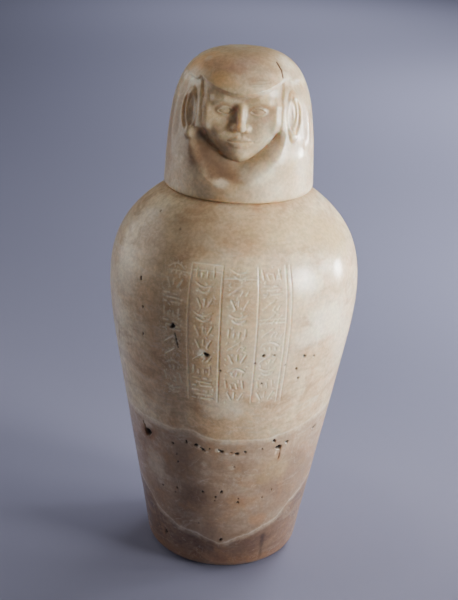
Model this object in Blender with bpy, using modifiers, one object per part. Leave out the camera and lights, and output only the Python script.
"""A canopic jar of banded calcite with its lid, carved as a head in a plain wig.

Two pieces of stone: the hollow jar, with four columns of shallow strokes and the holes
of its stone, and the lid that rests on its mouth. Blender units are metres; the sizes
below are millimetres, and MM turns them into metres. The jar stands on z = 0 with the
Z axis up its middle, and its front faces -Y.
"""

import math
import random

import bmesh
import bpy
import numpy as np

MM = 0.001
WELD = 0.00001

# --- the jar ---
JAR_HEIGHT = 291.5
CONE_RADIUS = 57.47           # at z = 0, of the cone that the lower jar follows
CONE_SLOPE = 0.1739
SHOULDER_START = 110.9        # above here the cone closes into the shoulder
SHOULDER_REACH = 203.5
SHOULDER_POWER = 5.45
HEEL_WIDTH = 8.5
HEEL_HEIGHT = 9.8
JAR_SEGMENTS = 60

MOUTH_RADIUS = 38.0
MOUTH_DEPTH = 18.0
WALL = 22.0
THROAT = 26.0                 # height over which the hollow widens under the mouth
FLOOR = 30.0
FLOOR_CORNER = 14.0

# --- the lid ---
SEAT_GAP = 0.3
LID_BASE = JAR_HEIGHT + SEAT_GAP
LID_TOP = 391.0
LID_RADIUS = 54.6             # of the plain cone that the wig follows, at LID_BASE
LID_TAPER = 0.0491
CROWN_START = 290.0
CROWN_POWER = 4.35
CROWN_ROUND = 2.98
LIP_WIDTH = 2.8
LIP_HEIGHT = 4.6
LID_SEGMENTS = 320
LID_ROW = 0.9
LID_TRIANGLES = 3300
BOSS_RADIUS = 36.0
BOSS_LENGTH = 14.5
BOSS_SEGMENTS = 48

# --- the head on the lid: x across, w forward, z up ---
CHIN = 320.0
SKULL_TOP = 387.0
HAIRLINE = SKULL_TOP - 0.12 * (SKULL_TOP - CHIN)
THIRD = (HAIRLINE - CHIN) / 3
NOSE_BASE = CHIN + THIRD
BROW = NOSE_BASE + THIRD
MOUTH = NOSE_BASE - THIRD / 3
EYE = (CHIN + SKULL_TOP) / 2
FACE_HALF = 28.0
EYE_WIDTH = 2 * FACE_HALF / 5
WIG_EDGE = 365.6              # the wig's edge over the middle of the brow
STRIP_EDGE = 29.3             # outer edge of the flat strip before each ear
EAR_TURN = math.radians(49.0)
EAR_MIDDLE = 349.5
EAR_HALF_WIDTH = 8.0
EAR_HALF_HEIGHT = 17.6
RAY_HEIGHT = 345.0            # above here the carving is cut towards one point

# --- the strokes on the jar's front: degrees round from the front, and heights ---
RULES = (-19.0, -4.7, 11.3, 24.2, 26.5)
COLUMNS = (-26.6, -11.85, 3.3, 17.75)
PANEL_LOW = 155.0
PANEL_HIGH = 257.0
ROWS = 10
STROKE_WIDTH = 1.1
STROKE_DEPTH = 0.9
MAIN_STROKE = 4.6             # shorter strokes are too small for the solid
SEED = 7

# --- the larger holes in the stone: degrees round, height, width, height, depth ---
PITS = (
    (-48.9, 111.5, 8.2, 7.0, 3.6),
    (-25.8, 210.7, 3.2, 4.8, 2.4),
    (30.6, 112.4, 4.8, 4.4, 2.6),
    (-10.4, 192.7, 4.6, 3.6, 1.6),
    (26.9, 119.2, 3.2, 2.6, 1.6),
    (57.5, 118.3, 6.4, 2.6, 1.8),
    (-43.7, 23.7, 3.0, 4.6, 1.8),
    (-15.8, 114.8, 3.0, 2.6, 1.5),
    (-2.1, 111.8, 3.4, 2.4, 1.4),
    (36.1, 188.7, 2.8, 2.6, 1.4),
)

JAR_COLOUR = (0.50, 0.39, 0.28, 1.0)
LID_COLOUR = (0.56, 0.45, 0.33, 1.0)
ROUGHNESS = 0.34


# --- turned forms ---

def jar_radius(z):
    """The jar's outer radius at a height, without the rounding of its heel."""
    rise = max(z - SHOULDER_START, 0.0) / SHOULDER_REACH
    return (CONE_RADIUS + CONE_SLOPE * z) * (1 - rise ** SHOULDER_POWER)


def hollow_radius(z):
    """Radius of the hollow at a height, without the rounding of its floor."""
    throat_end = JAR_HEIGHT - MOUTH_DEPTH
    blend = smooth_step(throat_end - z, 0.0, THROAT)
    return MOUTH_RADIUS + (jar_radius(min(z, throat_end)) - WALL - MOUTH_RADIUS) * blend


def lid_radius(z):
    """Radius of the plain round that the head is carved from, at a height or heights."""
    rise = np.clip((z - CROWN_START) / (LID_TOP - CROWN_START), 0.0, 0.999999)
    cone = LID_RADIUS - LID_TAPER * (z - LID_BASE)
    return cone * (1 - rise ** CROWN_POWER) ** (1 / CROWN_ROUND)


def quarter(count):
    """Angles of a quarter turn in equal steps, both ends included."""
    return [math.pi / 2 * i / count for i in range(count + 1)]


def jar_profile():
    """Half section of the jar, from the hollow's floor round the mouth to the underside."""
    points = [(0.0, FLOOR)]
    corner = hollow_radius(FLOOR + FLOOR_CORNER) - FLOOR_CORNER
    for turn in quarter(2):
        points.append((corner + FLOOR_CORNER * math.sin(turn), FLOOR + FLOOR_CORNER * (1 - math.cos(turn))))
    for z in np.linspace(130.0, 218.0, 3):
        points.append((hollow_radius(z), z))
    for z in np.linspace(JAR_HEIGHT - MOUTH_DEPTH - THROAT, JAR_HEIGHT - MOUTH_DEPTH, 4):
        points.append((hollow_radius(z), z))
    points.append((MOUTH_RADIUS, JAR_HEIGHT))
    for z in JAR_HEIGHT - (JAR_HEIGHT - SHOULDER_START) * np.linspace(0.0, 1.0, 16) ** 1.25:
        points.append((jar_radius(z), z))
    points.append((jar_radius(60.0), 60.0))
    for turn in quarter(4):
        z = HEEL_HEIGHT * (1 - math.sin(turn))
        points.append((jar_radius(z) - HEEL_WIDTH * (1 - math.cos(turn)), z))
    points.append((0.0, 0.0))
    return points


def lid_profile():
    """Half section of the lid without its boss, from the crown down to the underside."""
    rows = math.ceil((LID_TOP - LID_BASE - LIP_HEIGHT) / LID_ROW)
    points = []
    for i in range(rows + 1):
        z = LID_TOP - (LID_TOP - LID_BASE - LIP_HEIGHT) * (i / rows) ** 1.35
        points.append((0.0 if i == 0 else float(lid_radius(z)), z))
    for turn in quarter(4)[1:]:
        z = LID_BASE + LIP_HEIGHT * (1 - math.sin(turn))
        points.append((float(lid_radius(z)) - LIP_WIDTH * (1 - math.cos(turn)), z))
    points.append((0.0, LID_BASE))
    return points


# --- the head, as distances from its surface in millimetres ---

def smooth_step(value, low, high):
    t = np.clip((value - low) / (high - low), 0.0, 1.0)
    return t * t * (3 - 2 * t)


def join(a, b, blend):
    """Two forms as one, with a fillet."""
    t = np.clip(0.5 + 0.5 * (b - a) / blend, 0.0, 1.0)
    return b + (a - b) * t - blend * t * (1 - t)


def cut(a, b, blend):
    """The first form with the second taken out of it, with a soft edge."""
    return -join(-a, b, blend)


def ball(points, centre, radii):
    """An egg-shaped form."""
    offset = points - np.array(centre)
    radii = np.array(radii)
    near = np.linalg.norm(offset / radii, axis=-1)
    return near * (near - 1) / (np.linalg.norm(offset / radii ** 2, axis=-1) + 1e-9)


def roll(points, path, radii):
    """A rounded bar along a path, with a radius at each of its points."""
    nearest = None
    for i in range(len(path) - 1):
        start = np.array(path[i], dtype=float)
        along = np.array(path[i + 1], dtype=float) - start
        offset = points - start
        t = np.clip(offset @ along / (along @ along), 0.0, 1.0)
        bar = np.linalg.norm(offset - t[..., None] * along, axis=-1) - (radii[i] + (radii[i + 1] - radii[i]) * t)
        nearest = bar if nearest is None else np.minimum(nearest, bar)
    return nearest


# Depth of the face down its middle line: on the axis of the head, w at a height.
PROFILE_Z = (316.0, 319.0, 322.0, 326.0, 333.0, 340.0, 353.0, 358.5, 363.0, 368.0, 373.0, 380.0)
PROFILE_W = (33.0, 38.6, 41.6, 42.6, 42.8, 43.0, 42.6, 43.2, 43.2, 41.8, 38.0, 31.0)
FACE_BACK = 20.0
FACE_ROUND = 2.5


def face_mass(points):
    """Skull, cheeks, chin, brow and eye sockets."""
    x, w, z = points[..., 0], points[..., 1], points[..., 2]
    drop = np.clip((350.0 - z) / 31.0, 0.0, 0.9999)
    half = (FACE_HALF + 0.6) * np.sqrt(1 - drop ** 2.3) + 0.01
    depth = np.interp(z, PROFILE_Z, PROFILE_W) - FACE_BACK
    across = x / half
    forward = np.maximum((w - FACE_BACK) / depth, 0.0)
    section = (across ** FACE_ROUND + forward ** FACE_ROUND) ** (1 / FACE_ROUND)
    form = (section - 1) * np.minimum(half, depth) * 0.85
    form = cut(form, z - (CHIN - 1.0), 3.0)
    form = cut(form, 372.0 - z, 2.0)
    form = join(form, ball(points, (17.5, 32.5, 346.0), (9.5, 9.2, 8.0)), 6.0)
    form = join(form, ball(points, (12.0, 34.6, 338.5), (8.0, 7.6, 7.0)), 6.0)
    form = join(form, ball(points, (0.0, 36.0, MOUTH + 0.8), (10.5, 8.0, 8.0)), 5.0)
    form = join(form, ball(points, (0.0, 36.4, CHIN + 4.6), (7.2, 8.0, 5.2)), 4.0)
    arch = ((2.5, 40.6, BROW - 1.6), (7.0, 41.5, BROW - 0.2), (12.0, 41.3, BROW + 0.8),
            (17.5, 39.6, BROW + 0.4), (23.0, 35.6, BROW - 2.4))
    form = join(form, roll(points, arch, (1.9, 2.1, 2.1, 2.0, 1.6)), 4.0)
    form = cut(form, ball(points, (EYE_WIDTH + 0.8, 47.8, EYE + 0.4), (9.4, 7.2, 5.0)), 3.5)
    return cut(form, ball(points, (5.4, 46.4, EYE + 1.2), (3.0, 4.4, 3.8)), 2.5)


def on_face(x, z, lift):
    """A point over the plain face, found by halving between its back and its front."""
    low, high = FACE_BACK, 56.0
    for _ in range(30):
        middle = (low + high) / 2
        if face_mass(np.array([[x, middle, z]]))[0] < 0:
            low = middle
        else:
            high = middle
    return (x, low + lift, z)


def nose(points):
    w, z = points[..., 1], points[..., 2]
    root = on_face(0.0, BROW - 2.5, 0.0)[1]
    base = on_face(0.0, NOSE_BASE + 3.0, 0.0)[1]
    form = roll(points, ((0.0, root - 1.4, BROW - 1.5), (0.0, base + 2.6, NOSE_BASE + 3.6)), (2.3, 2.8))
    form = join(form, ball(points, (0.0, base + 3.0, NOSE_BASE + 3.0), (3.0, 3.5, 2.9)), 1.6)
    form = join(form, ball(points, (4.1, base + 0.3, NOSE_BASE + 2.4), (2.2, 3.4, 2.2)), 1.3)
    return cut(form, (z - NOSE_BASE + 0.1) * 0.9 - 0.1 * (w - base), 1.3)


def eye(points):
    """Eyeball and lids, the lids as a slightly larger ball with an almond opening."""
    x, z = points[..., 0], points[..., 2]
    centre = (EYE_WIDTH, 37.0, EYE)
    side = (x - EYE_WIDTH) / (EYE_WIDTH / 2 + 0.2)
    upper = EYE + 0.2 * side + 2.35 * (1 - np.clip(np.abs(side + 0.1) ** 2.2, 0.0, 1.6))
    lower = EYE + 0.2 * side - 1.75 * (1 - np.clip(np.abs(side) ** 2.1, 0.0, 1.6))
    opening = np.maximum(z - upper, lower - z) * 0.85
    lids = cut(ball(points, centre, (7.7, 5.9, 5.8)), opening, 0.35)
    return lids, ball(points, centre, (6.5, 4.9, 4.8))


def face(points):
    """The whole face, as a form of its own."""
    lip = MOUTH + 1.75, MOUTH - 2.1
    upper_lip = (on_face(0.0, lip[0], -0.35), on_face(1.8, lip[0] + 0.45, -0.35),
                 on_face(5.0, lip[0] - 0.45, -0.45), on_face(8.4, MOUTH + 0.1, -0.5))
    lower_lip = (on_face(0.0, lip[1], -0.45), on_face(3.8, lip[1] + 0.2, -0.55), on_face(7.8, MOUTH - 0.5, -0.5))
    parting = (on_face(0.0, MOUTH - 0.1, 0.75), on_face(2.2, MOUTH + 0.1, 0.75),
               on_face(5.6, MOUTH - 0.15, 0.6), on_face(9.0, MOUTH + 0.1, 0.2))
    groove = (on_face(0.0, NOSE_BASE - 1.0, 0.5), on_face(0.0, MOUTH + 3.6, 0.8))
    form = join(face_mass(points), nose(points), 2.0)
    form = cut(form, roll(points, groove, (0.9, 1.0)), 1.2)
    lids, eyeball = eye(points)
    form = join(form, lids, 1.3)
    form = join(form, eyeball, 0.3)
    form = join(form, roll(points, upper_lip, (1.6, 1.7, 1.35, 0.6)), 1.0)
    form = join(form, roll(points, lower_lip, (2.1, 1.9, 0.7)), 1.0)
    return cut(form, roll(points, parting, (0.5, 0.5, 0.5, 0.6)), 0.7)


def ear_depth(turn, z):
    """Depth of the ear under the wig's round, and how far inside its outline a point is."""
    lean = math.radians(8.0)
    out = lid_radius(EAR_MIDDLE) * (turn - EAR_TURN)
    up = z - EAR_MIDDLE
    across = out * math.cos(lean) - up * math.sin(lean)
    along = out * math.sin(lean) + up * math.cos(lean)
    half = EAR_HALF_WIDTH * (1 + 0.14 * np.clip(along / EAR_HALF_HEIGHT, -1.0, 1.0))

    def oval(shift, rise, trim_width, height):
        return np.hypot((across + shift) / (half - trim_width), (along + rise) / height)

    edge = (oval(0.0, 0.0, 0.0, EAR_HALF_HEIGHT) - 1) * half
    fold = np.abs(oval(1.4, -1.5, 4.2, 11.0) - 1) * (half - 4.2)
    bowl = np.hypot((across + 2.6) / 2.6, (along + 0.5) / 7.5)
    lobe = np.hypot((across + 1.2) / 4.6, (along + 13.2) / 4.8)
    depth = 3.0 - 2.1 * np.clip((across + 8.0) / 15.5, 0.0, 1.0)
    depth -= 1.4 * (1 - smooth_step(np.abs(edge + 1.4), 0.4, 2.2)) * smooth_step(across, -5.5, -2.5)
    depth -= 1.1 * (1 - smooth_step(fold, 0.1, 1.5)) * smooth_step(across, -2.6, -0.6)
    depth += 0.9 * (1 - smooth_step(bowl, 0.3, 1.3))
    depth -= 1.0 * (1 - smooth_step(lobe, 0.1, 1.25))
    return depth, edge, out


def wig_depth(turn, z):
    """Depth of the carving under the wig's round, by angle from the front and height."""
    worn = smooth_step(lid_radius(z) * np.sin(turn), -6.0, 14.0)
    turn = np.abs(turn)
    across = lid_radius(z) * np.sin(np.minimum(turn, math.pi / 2))
    under_edge = WIG_EDGE + 0.0105 * across ** 2 - z
    over_lappets = (z - 308.5 - 2.0 * worn - (0.0175 + 0.005 * worn) * across ** 2) * 0.75
    from_strip = STRIP_EDGE - across
    brow = 1.6 * smooth_step(under_edge, -0.4, 0.7) + 12.0 * smooth_step(under_edge, 0.8, 7.5)
    temple = 3.6 + 9.0 * smooth_step(from_strip, 3.4, 11.0) + 6.5 * smooth_step(345.0 - z, 0.0, 13.0)
    temple = temple + 8.0 * smooth_step(341.0 - z, 0.0, 7.0)
    throat = 21.0 * np.clip((over_lappets + 8.0 - 3.5 * worn) / (19.0 - 5.5 * worn), 0.0, 1.0) ** 1.9
    opening = np.minimum(np.minimum(brow, temple), throat)

    ear, edge, out = ear_depth(turn, z)
    recess = 1.8 * smooth_step(373.4 - z, -0.3, 0.8) * (1 - smooth_step(out, 9.5, 18.0))
    recess *= smooth_step(z, 320.0, 337.0)
    recess = np.maximum(recess, 1.2 * (1 - smooth_step(edge, 0.2, 4.0)))
    gap = 2.1 * (1 - smooth_step(across - STRIP_EDGE, 2.0, 6.5))
    gap *= 1 - smooth_step(np.abs(z - EAR_MIDDLE), 11.0, 21.0)
    low = throat * (1 - smooth_step(z, 329.0, 345.0)) * (1 - smooth_step(across, STRIP_EDGE - 2.0, STRIP_EDGE + 14.0))
    inside = 1 - smooth_step(edge, -0.7, 1.2)
    side = np.maximum(np.maximum(recess, gap), low) * (1 - inside) + ear * inside
    within = smooth_step(from_strip, -1.0, 1.0)
    return opening * within + side * (1 - within)


def head(points):
    """The carved lid: the wig with its opening and ears, and the face inside it."""
    x, w, z = points[:, 0], points[:, 1], points[:, 2]
    radius = np.hypot(x, w)
    round_form = radius - lid_radius(z)
    wig = (round_form + wig_depth(np.arctan2(x, w), z)) * 0.6
    half = np.column_stack((np.abs(x), w, z))
    neck = (np.hypot(half[:, 0] / 24.0, np.maximum(w, 0.0) / 33.0) - 1) * 23.0
    neck = np.maximum(neck, z - MOUTH)
    fillet = 1.4 + 3.2 * smooth_step(364.0 - z, 0.0, 8.0) * smooth_step(z, 332.0, 342.0)
    form = join(wig, join(face(half), neck, 5.0), fillet)
    return cut(form, 0.7 - round_form, 0.6)


def carve_head(mesh):
    """Draw the front of the plain round in along straight lines until it meets the head."""
    points = np.empty(len(mesh.vertices) * 3)
    mesh.vertices.foreach_get("co", points)
    points = points.reshape(-1, 3) / MM
    turn = np.abs(np.arctan2(points[:, 0], -points[:, 1]))
    front = (turn < math.radians(75.0)) & (points[:, 2] > LID_BASE + LIP_HEIGHT) & (points[:, 2] < 385.0)
    start = points[front] * (1, -1, 1)
    centre = np.column_stack((np.zeros(len(start)), np.zeros(len(start)), np.minimum(start[:, 2], RAY_HEIGHT)))
    reach = np.linalg.norm(start - centre, axis=1)
    ray = (start - centre) / reach[:, None]
    for _ in range(60):
        reach -= np.clip(head(centre + ray * reach[:, None]) * 0.8, -0.5, 1.6)
    points[front] = (centre + ray * reach[:, None]) * (1, -1, 1)
    mesh.vertices.foreach_set("co", (points * MM).ravel())
    mesh.update()


# --- grooves and holes ---

def on_jar(turn, z, depth=0.0):
    """A point on the jar in metres, at degrees round from the front and a height."""
    angle = math.radians(turn)
    radius = jar_radius(z) - depth
    return (radius * math.sin(angle) * MM, -radius * math.cos(angle) * MM, z * MM)


def stroke_patterns(pick):
    """Plain marks for one place in a column: lists of points, across and up from its middle."""
    lean = pick.uniform(-0.7, 0.7)
    size = pick.uniform(0.9, 1.1)
    kind = pick.choice(("ticks", "dashes", "fan", "slant", "arc", "arcs"))
    if kind == "ticks":
        marks = [[(x - lean, -3.2), (x + lean, top)] for x, top in ((-6.6, 2.8), (-3.0, -0.2), (0.8, 0.6), (5.0, 3.0))]
    elif kind == "dashes":
        marks = [[(-7.2, 3.2), (-2.6, 3.4)], [(0.6, 3.0), (3.4, 3.0)], [(-4.6, 0.2), (5.8, lean)],
                 [(-7.4, -3.0), (-4.8, -3.2)], [(-1.6, -3.2), (6.8, -2.8)]]
    elif kind == "fan":
        marks = [[(-5.6, 3.0), (-2.6, -2.8)], [(lean, 3.4), (lean, -1.0)], [(5.8, 3.2), (2.8, -2.6)]]
    elif kind == "slant":
        marks = [[(-7.0, -3.2), (1.6, 3.2)], [(0.2, -3.4), (1.8, -1.2)], [(3.6, -3.2), (5.2, -0.8)]]
    elif kind == "arc":
        marks = [[(-6.4 + 3.2 * i, 0.2 + 3.0 * math.sin(math.pi * i / 4)) for i in range(5)],
                 [(-3.4, -3.4), (-3.2 + lean, -1.4)], [(0.4, -3.4), (0.6 + lean, -1.0)], [(4.4, -3.2), (4.4 + lean, -1.4)]]
    else:
        marks = [[(-6.6 + 3.1 * i, 3.2 - 2.6 * math.sin(math.pi * i / 4)) for i in range(5)],
                 [(-4.6 + 2.3 * i, -0.8 - 2.2 * math.sin(math.pi * i / 4)) for i in range(5)]]
    return [[(x * size, y * size) for x, y in mark] for mark in marks]


def strokes():
    """Every stroke of the panel as points in degrees round and height, the rules first."""
    pick = random.Random(SEED)
    lines = []
    for turn in RULES:
        lines.append([(turn, z) for z in np.linspace(PANEL_LOW, PANEL_HIGH, 9)])
    row_height = (PANEL_HIGH - PANEL_LOW) / ROWS
    for column in COLUMNS:
        for row in range(ROWS):
            middle = PANEL_LOW + row_height * (row + 0.5)
            for mark in stroke_patterns(pick):
                lines.append([(column + math.degrees(x / jar_radius(middle + y)), middle + y) for x, y in mark])
    return lines


def stroke_length(line):
    """Length of a stroke in millimetres, from its ends."""
    (first_turn, first_z), (last_turn, last_z) = line[0], line[-1]
    return math.hypot(math.radians(last_turn - first_turn) * jar_radius(first_z), last_z - first_z)


def add_groove(shape, line):
    """A V-shaped bar along a stroke, drawn out to a point at both ends."""
    ends = 0.15
    (t0, z0), (t1, z1) = line[0], line[1]
    (t3, z3), (t2, z2) = line[-1], line[-2]
    route = [(t0 + (t1 - t0) * ends, z0 + (z1 - z0) * ends)] + line[1:-1]
    route.append((t3 + (t2 - t3) * ends, z3 + (z2 - z3) * ends))
    lift = 0.35
    rings = []
    for i, (turn, z) in enumerate(route):
        before, after = route[max(i - 1, 0)], route[min(i + 1, len(route) - 1)]
        run = np.array((math.radians(after[0] - before[0]) * jar_radius(z), after[1] - before[1]))
        run /= np.linalg.norm(run)
        half = STROKE_WIDTH / 2 * (1 + lift / STROKE_DEPTH)
        ring = []
        for side in (-1, 1):
            shift = math.degrees(-run[1] * half * side / jar_radius(z))
            ring.append(shape.verts.new(on_jar(turn + shift, z + run[0] * half * side, -lift)))
        ring.append(shape.verts.new(on_jar(turn, z, STROKE_DEPTH)))
        rings.append(ring)
    first = shape.verts.new(on_jar(t0, z0, -lift))
    last = shape.verts.new(on_jar(t3, z3, -lift))
    for a in range(3):
        b = (a + 1) % 3
        shape.faces.new((first, rings[0][b], rings[0][a]))
        for near, far in zip(rings, rings[1:]):
            shape.faces.new((near[a], near[b], far[b], far[a]))
        shape.faces.new((last, rings[-1][a], rings[-1][b]))


def add_hole(shape, turn, z, width, height, depth):
    """An egg-shaped hole sunk into the jar's side."""
    slope = math.atan2(jar_radius(z - 1) - jar_radius(z + 1), 2.0)
    made = bmesh.ops.create_icosphere(shape, subdivisions=1, radius=1.0)["verts"]
    angle = math.radians(turn)
    out = np.array((math.sin(angle) * math.cos(slope), -math.cos(angle) * math.cos(slope), math.sin(slope)))
    side = np.array((math.cos(angle), math.sin(angle), 0.0))
    up = np.cross(out, side) * -1
    centre = np.array(on_jar(turn, z))
    for vert in made:
        x, y, d = vert.co
        vert.co = centre + (side * x * width / 2 + up * y * height / 2 + out * d * depth) * MM


# --- building ---

def stone(name, colour):
    material = bpy.data.materials.new(name)
    material.use_nodes = True
    shader = material.node_tree.nodes["Principled BSDF"]
    shader.inputs["Base Color"].default_value = colour
    shader.inputs["Roughness"].default_value = ROUGHNESS
    shader.inputs["Metallic"].default_value = 0.0
    return material


def new_object(name, mesh, collection):
    thing = bpy.data.objects.new(name, mesh)
    collection.objects.link(thing)
    return thing


def turned(name, profile, segments, collection):
    """A solid of revolution about Z, from a half section that runs down its outer side."""
    mesh = bpy.data.meshes.new(name)
    corners = [(x * MM, 0.0, z * MM) for x, z in profile]
    mesh.from_pydata(corners, [(i, i + 1) for i in range(len(corners) - 1)], [])
    thing = new_object(name, mesh, collection)
    screw = thing.modifiers.new("Turn", "SCREW")
    screw.steps = screw.render_steps = segments
    screw.use_merge_vertices = True
    screw.merge_threshold = WELD
    return thing


def finished_mesh(thing):
    """Put an object's modifiers into its mesh."""
    bpy.context.view_layer.update()
    seen = thing.evaluated_get(bpy.context.evaluated_depsgraph_get())
    mesh = bpy.data.meshes.new_from_object(seen)
    thing.modifiers.clear()
    thing.data = mesh
    return mesh


def cutter(name, shape, collection):
    """A closed bmesh as a hidden object that cuts."""
    bmesh.ops.recalc_face_normals(shape, faces=shape.faces)
    mesh = bpy.data.meshes.new(name)
    shape.to_mesh(mesh)
    shape.free()
    thing = new_object(name, mesh, collection)
    thing.hide_render = True
    thing.display_type = "WIRE"
    return thing


def add_boolean(thing, other, operation):
    step = thing.modifiers.new(other.name, "BOOLEAN")
    step.operation = operation
    step.solver = "EXACT"
    step.object = other


def make_jar(parts, cutters):
    jar = turned("jar", jar_profile(), JAR_SEGMENTS, parts)
    grooves = bmesh.new()
    for line in strokes():
        if stroke_length(line) > MAIN_STROKE:
            add_groove(grooves, line)
    add_boolean(jar, cutter("strokes", grooves, cutters), "DIFFERENCE")
    holes = bmesh.new()
    for pit in PITS:
        add_hole(holes, *pit)
    add_boolean(jar, cutter("holes", holes, cutters), "DIFFERENCE")
    jar.data.materials.append(stone("jar_calcite", JAR_COLOUR))


def make_lid(parts, cutters):
    lid = turned("lid_head", lid_profile(), LID_SEGMENTS, parts)
    carve_head(finished_mesh(lid))
    thin = lid.modifiers.new("Fewer faces", "DECIMATE")
    thin.ratio = LID_TRIANGLES / (2 * len(lid.data.polygons))
    boss = bmesh.new()
    bmesh.ops.create_cone(boss, cap_ends=True, segments=BOSS_SEGMENTS, radius1=BOSS_RADIUS * MM,
                          radius2=BOSS_RADIUS * MM, depth=2 * BOSS_LENGTH * MM)
    bmesh.ops.translate(boss, verts=boss.verts, vec=(0.0, 0.0, LID_BASE * MM))
    add_boolean(lid, cutter("boss", boss, cutters), "UNION")
    lid.data.materials.append(stone("lid_calcite", LID_COLOUR))


def main():
    for thing in list(bpy.data.objects):
        bpy.data.objects.remove(thing)
    parts = bpy.data.collections.new("canopic_jar")
    cutters = bpy.data.collections.new("cutters")
    for collection in (parts, cutters):
        bpy.context.scene.collection.children.link(collection)
    make_jar(parts, cutters)
    make_lid(parts, cutters)


main()
